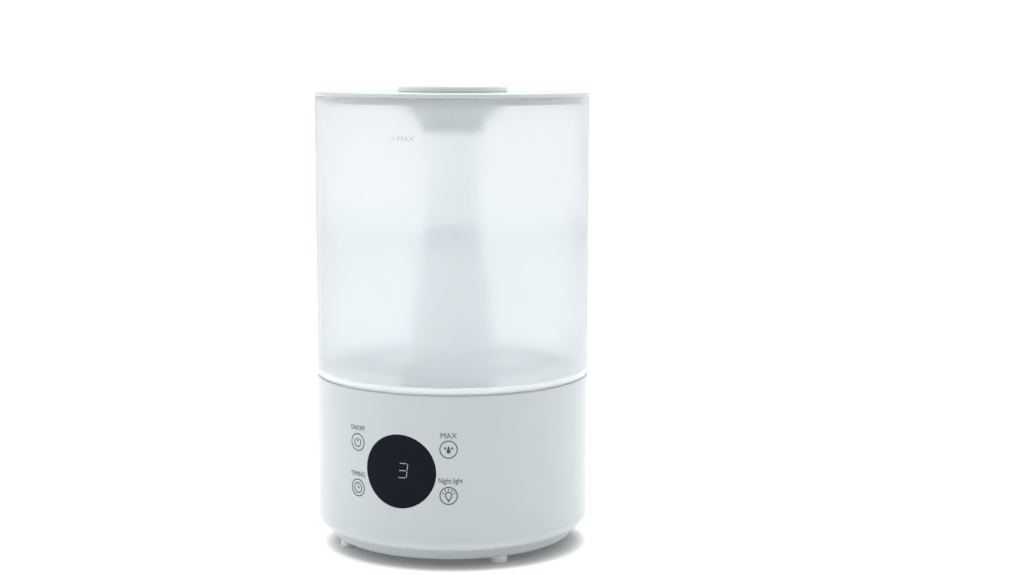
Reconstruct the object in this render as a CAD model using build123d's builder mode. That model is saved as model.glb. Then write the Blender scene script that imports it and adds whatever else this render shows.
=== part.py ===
from build123d import *
import os
from math import cos, radians, sin, sqrt, tan

# A top-fill ultrasonic cool mist humidifier, in millimetres.
# +Z is up, the display faces -Y, and the origin is on the table under the middle of the feet.
# From the table up: feet, bottom cover, base shell with its electronics bay and water basin,
# the lift-off tank with the mist chimney through its middle, the lid, and the turning nozzle.

os.makedirs("parts", exist_ok=True)

# ------------------------------------------------------------------ overall sizes
body_diameter = 165.0
foot_height = 4.5  # table to the underside of the bottom cover
cover_drop = 6.3  # how far the bottom cover shows below the base shell
shell_height = 91.9
seam_gap = 0.7  # shadow line between the base shell and the tank
tank_height = 166.8
lid_gap = 0.2
lid_thickness = 2.4
nozzle_rise = 4.2  # nozzle cap above the lid

body_radius = body_diameter / 2
shell_bottom = foot_height + cover_drop
shell_top = shell_bottom + shell_height
tank_bottom = shell_top + seam_gap
tank_top = tank_bottom + tank_height
lid_under = tank_top + lid_gap
lid_top = lid_under + lid_thickness
cap_top = lid_top + nozzle_rise

fit_gap = 0.15  # between flat faces of pieces that lift apart
pilot_clearance = 0.05  # screws are drawn at their threads' root, so a pilot hole clears by this

# ------------------------------------------------------------------ base shell and bottom cover
shell_wall = 2.2
shell_corner = 6.5
shell_edge = 0.8
shell_inner = body_radius - shell_wall
cover_inset = 2.5  # flat ring between the shell's corner and the cover
cover_radius = body_radius - shell_corner - cover_inset
cover_clearance = 0.4
cover_floor = 2.2
cover_wall = 2.2
rim_seat_depth = 1.0  # the cover's rim goes this far up into the shell
rim_seat_width = 3.0
cover_top = shell_bottom + rim_seat_depth
cover_floor_top = foot_height + cover_floor
ledge_drop = 6.9  # shell top down to the ledge that carries the basin
ledge_width = 2.3
ledge_top = shell_top - ledge_drop

foot_radius = 5.0
foot_pocket = 1.0
foot_inset = 0.5
foot_clearance = 0.15
foot_circle = cover_radius - foot_radius - foot_inset

# ------------------------------------------------------------------ water basin
basin_wall = 2.0
deck_flange = 6.3  # the basin's outside to the inside of the base shell
basin_radius = shell_inner - deck_flange - basin_wall
basin_depth = 17.0
deck_thickness = 2.0
deck_clearance = 0.3
deck_top = ledge_top + deck_thickness
basin_floor_top = deck_top - basin_depth
basin_floor_under = basin_floor_top - basin_wall

post_inset = 6.0
post_circle = basin_radius - post_inset
post_angles = (30, 150, 210, 330)
post_radius = 4.0
case_screw_radius = 1.5
case_screw_length = 12.0
case_screw_head = 2.8
case_screw_head_height = 2.0
well_radius = 4.4
well_roof = 3.0
stub_length = 14.0  # below the basin's floor
stub_foot = basin_floor_under - stub_length
well_roof_under = stub_foot - well_roof

# ------------------------------------------------------------------ ultrasonic transducer
transducer_y = -12.0
disc_radius = 10.0
disc_thickness = 1.2
seal_lip = 0.8  # silicone above and below the disc
seal_radius = 13.0
seal_window = 8.6
seal_height = disc_thickness + 2 * seal_lip
clamp_wall = 2.0
clamp_radius = 22.5
clamp_thickness = 2.0
clamp_window = 7.5
clamp_screw_circle = 18.5
clamp_screw_radius = 1.1
clamp_screw_count = 3
clamp_boss_radius = 3.2
seal_under = basin_floor_under - seal_height

# ------------------------------------------------------------------ fan, duct and air tower
fan_y = 42.0
fan_size = 50.0
fan_depth = 15.0
fan_stand = 29.5  # height of the fan above the cover's floor
fan_bore = 23.5
fan_hole_pitch = 40.0
fan_hole_radius = 2.1
fan_hub_radius = 10.0
fan_tip_gap = 0.8
fan_blade_count = 7
fan_blade_tilt = 35
fan_screw_engagement = 8.0
fan_under = cover_floor_top + fan_stand
fan_top = fan_under + fan_depth
tower_y = 24.0
tower_length = 22.0
tower_width = 14.0
tower_wall = 1.8
tower_height = 13.0
tower_window_height = 7.0
duct_wall = 1.6
duct_flange = 2.0
duct_socket = 6.0
spigot_length = 6.0
spigot_clearance = 0.15

# ------------------------------------------------------------------ display and touch keys
display_rise = 46.9  # the display's middle above the base shell's bottom edge
display_z = shell_bottom + display_rise
display_radius = 21.5
display_clearance = 0.15
lens_flange = 2.5
lens_flange_thickness = 1.4
board_thickness = 1.6
display_board_width = 72.0
display_board_height = 40.0
display_board_setback = 10.7  # behind the inside of the base shell
display_board_front = display_board_setback - shell_inner
key_angle = 20.1  # each key column, either side of the display
key_rise = 13.5  # each key row, above and below the keys' middle
key_lift = 0.5  # the keys' middle above the display's
key_spring_radius = 2.6
key_spring_wire = 0.35
key_spring_turns = 4
digit_width = 12.6
digit_height = 19.0
digit_depth = 7.6
display_screw_x = 31.0
display_screw_radius = 1.0
display_boss_radius = 2.5

# ------------------------------------------------------------------ boards and power inlet
main_board_y = -32.0
main_board_length = 84.0
main_board_width = 52.0
main_board_stand = 11.5
main_screw_inset = 4.0
board_screw_radius = 1.2
stud_radius = 3.0
main_board_under = cover_floor_top + main_board_stand
main_board_top = main_board_under + board_thickness
main_screw_x = main_board_length / 2 - main_screw_inset
main_screw_y = main_board_width / 2 - main_screw_inset
connector_height = 6.0
connector_top = main_board_top + connector_height
jack_stand = 15.0
jack_z = cover_floor_top + jack_stand
jack_bore = 3.0
jack_nose = 3.9
jack_nose_length = 2.6
jack_hole_clearance = 0.3
jack_width = 9.0
jack_height = 11.0
jack_length = 13.0
jack_bore_depth = 9.5
jack_recess = 0.4
jack_pin = 1.0
jack_board_length = 20.0
jack_board_width = 16.0
jack_board_inset = 1.5
jack_stud_spacing = 10.0
jack_stud_radius = 2.2
wire_radius = 0.6

# ------------------------------------------------------------------ float, valve and night light
float_inset = 22.0  # float and night light, in from the basin's wall
float_x, float_y = basin_radius - float_inset, 8.0
float_post_radius = 2.5
float_post_height = 13.5
float_bore_clearance = 0.5
float_radius = 7.5
float_height = 6.0
float_travel = 5.0
float_rest = 0.5
magnet_wall = 0.7
magnet_width = 1.6
magnet_height = 2.0
magnet_clearance = 0.1
clip_radius = 4.5
clip_thickness = 1.0
reed_radius = 1.2
light_x, light_y = float_inset - basin_radius, 8.0
light_radius = 8.0
light_flange = 1.5
light_clearance = 0.1
valve_inset = 12.0
valve_y = valve_inset - basin_radius
valve_lift = 2.5  # how far the base's pin holds the plunger open
valve_hole = 4.5
valve_stem = 1.5
valve_head = 5.6
valve_head_thickness = 1.2
valve_seal_thickness = 1.0
valve_spring_height = 4.0
valve_spring_wire = 0.4
valve_spring_radius = 3.4
valve_cage_radius = 7.5
valve_cage_wall = 1.1
valve_cage_roof = 1.0
valve_stem_drop = 7.9  # plunger tip below the tank floor's underside
valve_collar = 2.0

# ------------------------------------------------------------------ tank
tank_wall = 2.0
tank_inner = body_radius - tank_wall
tank_floor_recess = 0.3
tank_floor_thickness = 3.0
tank_floor_under = tank_bottom + tank_floor_recess
tank_floor_top = tank_floor_under + tank_floor_thickness
chimney_foot = 25.4
chimney_shoulder = 16.8
chimney_mouth = 16.5
chimney_shoulder_height = 80.1
chimney_wall = 1.8
chimney_flange = 3.0
chimney_flange_thickness = 1.4
chimney_joint_gap = 0.05
chimney_top = lid_top - 18.0
chimney_shoulder_z = tank_floor_top + chimney_shoulder_height
mist_skirt_radius = 36.0
mist_skirt_wall = 2.0
mist_skirt_bottom = basin_floor_top + 3.0
support_ring_width = 2.1
support_ring_inner = basin_radius + basin_wall + 0.9

# ------------------------------------------------------------------ lid and nozzle
lid_radius = body_radius - 0.2
lid_edge = 1.0
lid_skirt_clearance = 0.6
lid_skirt_wall = 1.8
lid_skirt_depth = 4.0
seat_radius = 29.0
seat_depth = 9.0
seat_wall = 1.8
funnel_shelf = 2.8
collar_clearance = 0.8
collar_overlap = 5.5
insert_clearance = 0.4
insert_wall = 2.4
baffle_radius = 11.0
baffle_thickness = 1.5
baffle_dome = 3.2
spoke_width = 3.0
cap_radius = 33.0
cap_edge = 2.0
cap_gap = 0.3
cap_wall = 1.8
cap_skirt_wall = 1.6
cap_skirt_clearance = 0.4
cap_skirt_depth = 5.5
dish_radius = 24.0
dish_depth = 1.0
outlet_radius = 14.0
outlet_width = 8.0
outlet_start = 160
outlet_span = 85

# Places that several pieces share.
post_places = [(post_circle * cos(radians(a)), post_circle * sin(radians(a))) for a in post_angles]
foot_places = [(foot_circle * cos(radians(a)), foot_circle * sin(radians(a))) for a in (45, 135, 225, 315)]
main_screw_places = [(x, main_board_y + y) for x in (-main_screw_x, main_screw_x) for y in (-main_screw_y, main_screw_y)]
fan_screw_places = [
    (x, fan_y + y)
    for x in (-fan_hole_pitch / 2, fan_hole_pitch / 2)
    for y in (-fan_hole_pitch / 2, fan_hole_pitch / 2)
]
jack_back = body_radius - jack_recess - jack_nose_length
jack_under = jack_z - jack_height / 2
jack_board_y = jack_back - jack_board_inset - jack_board_length / 2
jack_stud_places = [(x, jack_board_y) for x in (-jack_stud_spacing / 2, jack_stud_spacing / 2)]
key_x = body_radius * sin(radians(key_angle))
key_places = [(x, display_z + key_lift + z) for x in (-key_x, key_x) for z in (-key_rise, key_rise)]


def screw(radius, length, head_radius, head_height):
    """A pan-head screw standing on Z: its head's bearing face is at z = 0 and its shank goes up."""
    with BuildPart() as made:
        Cylinder(head_radius, head_height, align=(Align.CENTER, Align.CENTER, Align.MAX))
        Cylinder(radius, length, align=(Align.CENTER, Align.CENTER, Align.MIN))
        chamfer(made.faces().sort_by(Axis.Z)[-1].edges(), radius * 0.4)
        with Locations((0, 0, -head_height)):
            for turn in (0, 90):
                Box(
                    head_radius * 1.2,
                    head_radius * 0.3,
                    head_height,
                    rotation=(0, 0, turn),
                    mode=Mode.SUBTRACT,
                )
    return made.part


def bend_radii(points):
    """The largest easy arc at each corner of a route: it uses 0.45 of the shorter run beside it."""
    places = [Vector(*point) for point in points]
    runs = [b - a for a, b in zip(places, places[1:])]
    return [
        0.45 * min(before.length, after.length) / tan(radians(before.get_angle(after)) / 2)
        for before, after in zip(runs, runs[1:])
    ]


def lead(points):
    """A round wire along straight runs joined by arcs."""
    with BuildPart() as made:
        with BuildLine() as route:
            FilletPolyline(*points, radius=bend_radii(points))
        with BuildSketch(Plane(origin=route.line @ 0, z_dir=route.line % 0)):
            Circle(wire_radius)
        sweep(path=route.line)
    return made.part


def coil_spring(radius, wire, height, turns):
    """A helical spring standing on Z, from z = 0 to height over its wire's outside."""
    with BuildPart() as made:
        with BuildLine() as route:
            Helix(pitch=(height - 2 * wire) / turns, height=height - 2 * wire, radius=radius)
        with BuildSketch(Plane(origin=route.line @ 0, z_dir=route.line % 0)):
            Circle(wire)
        sweep(path=route.line)
    return Pos(0, 0, wire) * made.part


# ------------------------------------------------------------------ feet
with BuildPart() as feet:
    with BuildSketch():
        with Locations(*foot_places):
            Circle(foot_radius)
    extrude(amount=foot_height + foot_pocket)
    fillet(feet.edges().group_by(Axis.Z)[0], 1.0)

# ------------------------------------------------------------------ bottom cover
with BuildPart() as bottom_cover:
    with BuildSketch(Plane.XZ):
        with BuildLine():
            Polyline(
                (0, foot_height),
                (cover_radius, foot_height),
                (cover_radius, cover_top),
                (cover_radius - cover_wall, cover_top),
                (cover_radius - cover_wall, cover_floor_top),
                (0, cover_floor_top),
                close=True,
            )
        make_face()
    revolve(axis=Axis.Z)
    fillet(bottom_cover.edges().group_by(Axis.Z)[0], 1.2)
    with BuildSketch(Plane.XY.offset(foot_height)):
        with Locations(*post_places):
            Circle(well_radius)
    extrude(amount=stub_foot - foot_height)
    with BuildSketch(Plane.XY.offset(cover_floor_top)):
        with Locations(*main_screw_places):
            Circle(stud_radius)
    extrude(amount=main_board_under - cover_floor_top)
    with BuildSketch(Plane.XY.offset(cover_floor_top)):
        with Locations(*fan_screw_places):
            Circle(stud_radius + 0.5)
    extrude(amount=fan_under - cover_floor_top)
    with BuildSketch(Plane.XY.offset(cover_floor_top)):
        with Locations(*jack_stud_places):
            Circle(jack_stud_radius)
    extrude(amount=jack_under - board_thickness - cover_floor_top)
    # Deep wells for the case screws, open to below.
    with BuildSketch(Plane.XY.offset(foot_height)):
        with Locations(*post_places):
            Circle(case_screw_radius + 0.2)
    extrude(amount=stub_foot - foot_height, mode=Mode.SUBTRACT)
    with BuildSketch(Plane.XY.offset(foot_height)):
        with Locations(*post_places):
            Circle(case_screw_head + 0.3)
    extrude(amount=well_roof_under - foot_height, mode=Mode.SUBTRACT)
    with BuildSketch(Plane.XY.offset(foot_height)):
        with Locations(*foot_places):
            Circle(foot_radius + foot_clearance)
    extrude(amount=foot_pocket, mode=Mode.SUBTRACT)
    # Pilot holes in the studs for the board and fan screws.
    with BuildSketch(Plane.XY.offset(main_board_under)):
        with Locations(*main_screw_places):
            Circle(board_screw_radius + pilot_clearance)
    extrude(amount=-7, mode=Mode.SUBTRACT)
    with BuildSketch(Plane.XY.offset(fan_under)):
        with Locations(*fan_screw_places):
            Circle(case_screw_radius + pilot_clearance)
    extrude(amount=-fan_screw_engagement - 1, mode=Mode.SUBTRACT)
    # Air inlet grille under the fan.
    with BuildSketch(Plane.XY.offset(foot_height)):
        with Locations((0, fan_y)):
            with GridLocations(0, 5.0, 1, 7):
                SlotOverall(30, 2.6)
    extrude(amount=cover_floor, mode=Mode.SUBTRACT)

# ------------------------------------------------------------------ base shell
with BuildPart() as base_shell:
    with BuildSketch(Plane.XZ):
        with BuildLine():
            rim_inner = cover_radius + cover_clearance
            flange_inner = cover_radius - rim_seat_width
            corner_inner = shell_corner - shell_wall
            Polyline(
                (shell_inner, shell_bottom + shell_corner),
                (shell_inner, ledge_top - 2 * ledge_width),
                (shell_inner - ledge_width, ledge_top - 1),
                (shell_inner - ledge_width, ledge_top),
                (shell_inner, ledge_top),
                (shell_inner, shell_top),
                (body_radius - shell_edge, shell_top),
            )
            RadiusArc(
                (body_radius - shell_edge, shell_top),
                (body_radius, shell_top - shell_edge),
                shell_edge,
            )
            Line((body_radius, shell_top - shell_edge), (body_radius, shell_bottom + shell_corner))
            RadiusArc(
                (body_radius, shell_bottom + shell_corner),
                (body_radius - shell_corner, shell_bottom),
                shell_corner,
            )
            Polyline(
                (body_radius - shell_corner, shell_bottom),
                (rim_inner, shell_bottom),
                (rim_inner, cover_top),
                (flange_inner, cover_top),
                (flange_inner, shell_bottom + shell_wall),
                (shell_inner - corner_inner, shell_bottom + shell_wall),
            )
            RadiusArc(
                (shell_inner - corner_inner, shell_bottom + shell_wall),
                (shell_inner, shell_bottom + shell_corner),
                -corner_inner,
            )
        make_face()
    revolve(axis=Axis.Z)
    # Bosses behind the front wall for the display board.
    with BuildSketch(Plane.XZ.offset(-display_board_front)):
        with Locations((-display_screw_x, display_z), (display_screw_x, display_z)):
            Circle(display_boss_radius)
    extrude(amount=5.6)
    with BuildSketch(Plane.XZ.offset(-display_board_front)):
        with Locations((-display_screw_x, display_z), (display_screw_x, display_z)):
            Circle(display_screw_radius + pilot_clearance)
    extrude(amount=4.4, mode=Mode.SUBTRACT)
    # Round window for the display lens, and the hole for the power inlet's nose.
    with BuildSketch(Plane.XZ.offset(-display_board_front)):
        with Locations((0, display_z)):
            Circle(display_radius + display_clearance)
    extrude(amount=body_radius, mode=Mode.SUBTRACT)
    with BuildSketch(Plane.XZ.offset(-shell_inner + 2)):
        with Locations((0, jack_z)):
            Circle(jack_nose + jack_hole_clearance)
    extrude(amount=-shell_wall - 4, mode=Mode.SUBTRACT)

# ------------------------------------------------------------------ water basin
with BuildPart() as basin:
    with BuildSketch(Plane.XZ):
        with BuildLine():
            Polyline(
                (0, basin_floor_under),
                (basin_radius + basin_wall, basin_floor_under),
                (basin_radius + basin_wall, ledge_top),
                (shell_inner - deck_clearance, ledge_top),
                (shell_inner - deck_clearance, deck_top),
                (basin_radius, deck_top),
                (basin_radius, basin_floor_top),
                (0, basin_floor_top),
                close=True,
            )
        make_face()
    revolve(axis=Axis.Z)
    fillet(basin.edges().filter_by_position(Axis.Z, deck_top - 0.01, deck_top + 0.01), 0.6)
    with BuildSketch(Plane.XY.offset(basin_floor_under)):
        with Locations(*post_places):
            Circle(post_radius)
    extrude(amount=-stub_length)
    with BuildSketch(Plane.XY.offset(stub_foot)):
        with Locations(*post_places):
            Circle(case_screw_radius + pilot_clearance)
    extrude(amount=case_screw_length - well_roof + 1, mode=Mode.SUBTRACT)
    # Transducer seat under the floor: a ring round the seal and bosses for the clamp.
    with BuildSketch(Plane.XY.offset(basin_floor_under)):
        with Locations((0, transducer_y)):
            Circle(seal_radius + clamp_wall)
            Circle(seal_radius, mode=Mode.SUBTRACT)
            with PolarLocations(clamp_screw_circle, clamp_screw_count, start_angle=90):
                Circle(clamp_boss_radius)
    extrude(amount=-seal_height)
    with BuildSketch(Plane.XY.offset(basin_floor_under)):
        with Locations((0, transducer_y)):
            Circle(seal_window)
    extrude(amount=basin_wall, mode=Mode.SUBTRACT)
    with BuildSketch(Plane.XY.offset(seal_under)):
        with Locations((0, transducer_y)):
            with PolarLocations(clamp_screw_circle, clamp_screw_count, start_angle=90):
                Circle(clamp_screw_radius + pilot_clearance)
    extrude(amount=seal_height - 0.2, mode=Mode.SUBTRACT)
    # Air tower: a roofed duct whose window faces the transducer, with a spigot below.
    with BuildSketch(Plane.XY.offset(basin_floor_under - spigot_length)):
        with Locations((0, tower_y)):
            RectangleRounded(tower_length, tower_width, 3)
    extrude(amount=spigot_length + basin_wall + tower_height)
    with BuildSketch(Plane.XY.offset(basin_floor_under - spigot_length)):
        with Locations((0, tower_y)):
            RectangleRounded(tower_length - 2 * tower_wall, tower_width - 2 * tower_wall, 1.2)
    extrude(amount=spigot_length + basin_wall + tower_height - tower_wall, mode=Mode.SUBTRACT)
    with Locations((0, tower_y - tower_width / 2, basin_floor_top + tower_height - tower_wall)):
        Box(
            tower_length - 2 * tower_wall,
            3 * tower_wall,
            tower_window_height,
            align=(Align.CENTER, Align.CENTER, Align.MAX),
            mode=Mode.SUBTRACT,
        )
    # Float post, hollow from below for the reed switch.
    with Locations((float_x, float_y, basin_floor_under)):
        Cylinder(
            float_post_radius,
            basin_wall + float_post_height,
            align=(Align.CENTER, Align.CENTER, Align.MIN),
        )
        Cylinder(
            reed_radius + 0.3,
            basin_wall + float_post_height - 2,
            align=(Align.CENTER, Align.CENTER, Align.MIN),
            mode=Mode.SUBTRACT,
        )
    # Pin that opens the tank's valve, with three stiffening fins.
    pin_top = tank_floor_under - valve_stem_drop - fit_gap
    with Locations((0, valve_y, basin_floor_top)):
        Cylinder(2.5, pin_top - basin_floor_top, align=(Align.CENTER, Align.CENTER, Align.MIN))
        with PolarLocations(0, 3):
            Box(5.5, 1.2, 9, align=(Align.MIN, Align.CENTER, Align.MIN))
    # Night light window, and the two pegs that hold its board.
    with BuildSketch(Plane.XY.offset(basin_floor_under)):
        with Locations((light_x, light_y)):
            Circle(light_radius + light_clearance)
    extrude(amount=basin_wall, mode=Mode.SUBTRACT)
    with BuildSketch(Plane.XY.offset(basin_floor_under)):
        with Locations((light_x - 12, light_y), (light_x + 12, light_y)):
            Circle(1.8)
    extrude(amount=-spigot_length)

# ------------------------------------------------------------------ case screws
with BuildPart() as case_screws:
    with Locations(*[(x, y, well_roof_under) for x, y in post_places]):
        add(screw(case_screw_radius, case_screw_length, case_screw_head, case_screw_head_height))

# ------------------------------------------------------------------ display lens, board and keys
with BuildPart() as display_lens:
    with BuildSketch(Plane.XY.offset(display_z - body_radius)):
        Circle(body_radius)
        Circle(shell_inner, mode=Mode.SUBTRACT)
    extrude(amount=body_diameter)
    with BuildSketch(Plane.XZ):
        with Locations((0, display_z)):
            Circle(display_radius)
    extrude(amount=body_diameter, mode=Mode.INTERSECT)
    with BuildPart(mode=Mode.PRIVATE) as lens_back:
        with BuildSketch(Plane.XY.offset(display_z - body_radius)):
            Circle(shell_inner)
            Circle(shell_inner - lens_flange_thickness, mode=Mode.SUBTRACT)
        extrude(amount=body_diameter)
        with BuildSketch(Plane.XZ):
            with Locations((0, display_z)):
                Circle(display_radius + lens_flange)
        extrude(amount=body_diameter, mode=Mode.INTERSECT)
    add(lens_back.part)

with BuildPart() as display_board:
    with BuildSketch(Plane.XZ.offset(-display_board_front - board_thickness)):
        with Locations((0, display_z)):
            RectangleRounded(display_board_width, display_board_height, 2)
        with Locations((-display_screw_x, display_z), (display_screw_x, display_z)):
            Circle(display_screw_radius + 0.2, mode=Mode.SUBTRACT)
    extrude(amount=board_thickness)

with BuildPart() as display_screws:
    for x in (-display_screw_x, display_screw_x):
        with Locations(Location((x, display_board_front + board_thickness, display_z), (90, 0, 0))):
            add(screw(display_screw_radius, 5.5, 1.9, 1.3))

with BuildPart() as digit_display:
    with BuildSketch(Plane.XZ.offset(-display_board_front)):
        with Locations((0, display_z)):
            Rectangle(digit_width, digit_height)
    extrude(amount=digit_depth)
    chamfer(digit_display.faces().sort_by(Axis.Y)[0].edges(), 0.5)

with BuildPart() as infrared_receiver:
    with BuildSketch(Plane.XZ.offset(-display_board_front)):
        with Locations((14, display_z - 12)):
            Rectangle(5.6, 6.8)
    extrude(amount=3)
    with Locations((14, display_board_front - 3, display_z - 12)):
        Sphere(2.0)

key_spring_back = -display_board_front
with BuildPart() as touch_springs:
    key_gap = sqrt(shell_inner**2 - (key_x + key_spring_radius + key_spring_wire) ** 2) - key_spring_back
    for x, z in key_places:
        with Locations(Location((x, display_board_front, z), (90, 0, 0))):
            add(coil_spring(key_spring_radius, key_spring_wire, key_gap, key_spring_turns))

# ------------------------------------------------------------------ ultrasonic transducer
disc_top = basin_floor_under - seal_lip
with BuildPart() as transducer_disc:
    with Locations((0, transducer_y, disc_top)):
        Cylinder(disc_radius, disc_thickness, align=(Align.CENTER, Align.CENTER, Align.MAX))

with BuildPart() as transducer_seal:
    with BuildSketch(Plane.XZ.offset(-transducer_y)):
        with BuildLine():
            Polyline(
                (seal_window, basin_floor_under),
                (seal_radius, basin_floor_under),
                (seal_radius, seal_under),
                (seal_window, seal_under),
                (seal_window, disc_top - disc_thickness),
                (disc_radius, disc_top - disc_thickness),
                (disc_radius, disc_top),
                (seal_window, disc_top),
                close=True,
            )
        make_face()
    revolve(axis=Axis((0, transducer_y, 0), (0, 0, 1)))

with BuildPart() as transducer_clamp:
    with BuildSketch(Plane.XY.offset(seal_under)):
        with Locations((0, transducer_y)):
            Circle(seal_radius + clamp_wall)
            with PolarLocations(clamp_screw_circle / 2, clamp_screw_count, start_angle=90):
                Rectangle(clamp_screw_circle, 9)
            with PolarLocations(clamp_screw_circle, clamp_screw_count, start_angle=90):
                Circle(4.5)
            Circle(clamp_window, mode=Mode.SUBTRACT)
            with PolarLocations(clamp_screw_circle, clamp_screw_count, start_angle=90):
                Circle(clamp_screw_radius + 0.2, mode=Mode.SUBTRACT)
    extrude(amount=-clamp_thickness)

with BuildPart() as transducer_screws:
    with Locations((0, transducer_y, seal_under - clamp_thickness)):
        with PolarLocations(clamp_screw_circle, clamp_screw_count, start_angle=90):
            add(screw(clamp_screw_radius, clamp_thickness + 2.4, 2.1, 1.4))

# ------------------------------------------------------------------ fan and air duct
with BuildPart() as fan_frame:
    with BuildSketch(Plane.XY.offset(fan_under)):
        with Locations((0, fan_y)):
            RectangleRounded(fan_size, fan_size, 3)
            Circle(fan_bore, mode=Mode.SUBTRACT)
        with Locations(*fan_screw_places):
            Circle(fan_hole_radius, mode=Mode.SUBTRACT)
    extrude(amount=fan_depth)
    # Motor seat on four arms across the inlet side.
    with BuildSketch(Plane.XY.offset(fan_under)):
        with Locations((0, fan_y)):
            Circle(fan_hub_radius)
            with PolarLocations((fan_hub_radius + fan_bore) / 2, 4, start_angle=45):
                Rectangle(fan_bore - fan_hub_radius + 2, 2.5)
    extrude(amount=2)
    with Locations((0, fan_y, fan_under + 2)):
        Cylinder(3, 8, align=(Align.CENTER, Align.CENTER, Align.MIN))

with BuildPart() as fan_rotor:
    with Locations((0, fan_y, fan_under + 3)):
        Cylinder(fan_hub_radius, fan_depth - 4, align=(Align.CENTER, Align.CENTER, Align.MIN))
        with PolarLocations((fan_hub_radius + fan_bore - fan_tip_gap) / 2, fan_blade_count):
            with Locations((0, 0, (fan_depth - 4) / 2)):
                Box(
                    fan_bore - fan_tip_gap - fan_hub_radius + 1.0,
                    1.2,
                    10,
                    rotation=(fan_blade_tilt, 0, 0),
                )
    # Recess for the motor's bearing tube.
    with Locations((0, fan_y, fan_under + 3)):
        Cylinder(
            3.1,
            8,
            align=(Align.CENTER, Align.CENTER, Align.MIN),
            mode=Mode.SUBTRACT,
        )

duct_socket_bottom = basin_floor_under - spigot_length
duct_top = basin_floor_under - 0.5
with BuildPart() as air_duct:
    with BuildSketch(Plane.XY.offset(fan_top)):
        with Locations((0, fan_y)):
            RectangleRounded(fan_size, fan_size, 3)
    extrude(amount=duct_flange)
    socket_length = tower_length + 2 * (spigot_clearance + duct_wall)
    socket_width = tower_width + 2 * (spigot_clearance + duct_wall)
    throat = 2 * (fan_bore - 4)
    with BuildSketch(Plane.XY.offset(fan_top + duct_flange)):
        with Locations((0, fan_y)):
            RectangleRounded(throat + 2 * duct_wall, throat + 2 * duct_wall, 5)
    with BuildSketch(Plane.XY.offset(duct_socket_bottom - 1.5)):
        with Locations((0, tower_y)):
            RectangleRounded(socket_length, socket_width, 5)
    loft()
    with BuildSketch(Plane.XY.offset(duct_socket_bottom - 1.5)):
        with Locations((0, tower_y)):
            RectangleRounded(socket_length, socket_width, 5)
    extrude(amount=duct_top - duct_socket_bottom + 1.5)
    # The air passage: straight through the flange, tapering, then a socket for the spigot.
    with BuildSketch(Plane.XY.offset(fan_top)):
        with Locations((0, fan_y)):
            RectangleRounded(throat, throat, 4)
    extrude(amount=duct_flange, mode=Mode.SUBTRACT)
    with BuildSketch(Plane.XY.offset(fan_top + duct_flange)):
        with Locations((0, fan_y)):
            RectangleRounded(throat, throat, 4)
    with BuildSketch(Plane.XY.offset(duct_socket_bottom - 1.5)):
        with Locations((0, tower_y)):
            RectangleRounded(tower_length - 2 * tower_wall, tower_width - 2 * tower_wall, 1.2)
    loft(mode=Mode.SUBTRACT)
    with BuildSketch(Plane.XY.offset(duct_socket_bottom - 1.5)):
        with Locations((0, tower_y)):
            RectangleRounded(tower_length - 2 * tower_wall, tower_width - 2 * tower_wall, 1.2)
    extrude(amount=1.5, mode=Mode.SUBTRACT)
    with BuildSketch(Plane.XY.offset(duct_socket_bottom)):
        with Locations((0, tower_y)):
            RectangleRounded(tower_length + 2 * spigot_clearance, tower_width + 2 * spigot_clearance, 3)
    extrude(amount=duct_top - duct_socket_bottom, mode=Mode.SUBTRACT)
    with BuildSketch(Plane.XY.offset(fan_top)):
        with Locations(*fan_screw_places):
            Circle(fan_hole_radius)
    extrude(amount=duct_flange, mode=Mode.SUBTRACT)
    # Room above the flange for the screw heads.
    with BuildSketch(Plane.XY.offset(fan_top + duct_flange)):
        with Locations(*fan_screw_places):
            Circle(case_screw_head + 0.4)
    extrude(amount=6, mode=Mode.SUBTRACT)

fan_screw_length = duct_flange + fan_depth + fan_screw_engagement
with BuildPart() as fan_screws:
    for x, y in fan_screw_places:
        with Locations(Location((x, y, fan_top + duct_flange), (180, 0, 0))):
            add(screw(case_screw_radius, fan_screw_length, case_screw_head, case_screw_head_height))

# ------------------------------------------------------------------ driver board and its parts
with BuildPart() as main_board:
    with BuildSketch(Plane.XY.offset(main_board_under)):
        with Locations((0, main_board_y)):
            RectangleRounded(main_board_length, main_board_width, 3)
        with Locations(*main_screw_places):
            Circle(board_screw_radius + 0.2, mode=Mode.SUBTRACT)
    extrude(amount=board_thickness)

with BuildPart() as board_screws:
    for x, y in main_screw_places:
        with Locations(Location((x, y, main_board_top), (180, 0, 0))):
            add(screw(board_screw_radius, 7, 2.3, 1.5))

heat_sink_y = main_board_y + 2
with BuildPart() as heat_sink:
    with BuildSketch(Plane.XY.offset(main_board_top)):
        with Locations((0, heat_sink_y)):
            Rectangle(34, 3)
        with Locations((0, heat_sink_y + 5)):
            with GridLocations(4.6, 0, 8, 1):
                Rectangle(1.4, 10)
    extrude(amount=24)

with BuildPart() as power_transistor:
    with Locations((6, heat_sink_y - 1.5, main_board_top + 6)):
        Box(10, 4.4, 9, align=(Align.CENTER, Align.MAX, Align.MIN))
        Box(10, 1.3, 15, align=(Align.CENTER, Align.MAX, Align.MIN))
    for x in (3.5, 6, 8.5):
        with Locations((x, heat_sink_y - 3.7, main_board_top)):
            Box(0.9, 0.6, 6, align=(Align.CENTER, Align.MAX, Align.MIN))

with BuildPart() as capacitors:
    for x, y, r, h in ((-28, -45, 5, 18), (-15, -47, 4, 13), (30, -30, 3.2, 11)):
        with Locations((x, y, main_board_top)):
            Cylinder(r, h, align=(Align.CENTER, Align.CENTER, Align.MIN))
    fillet(capacitors.edges().filter_by(GeomType.CIRCLE), 0.6)

with BuildPart() as inductor:
    with Locations((20, -48, main_board_top + 3.4)):
        Torus(6.2, 3.4)

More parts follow.
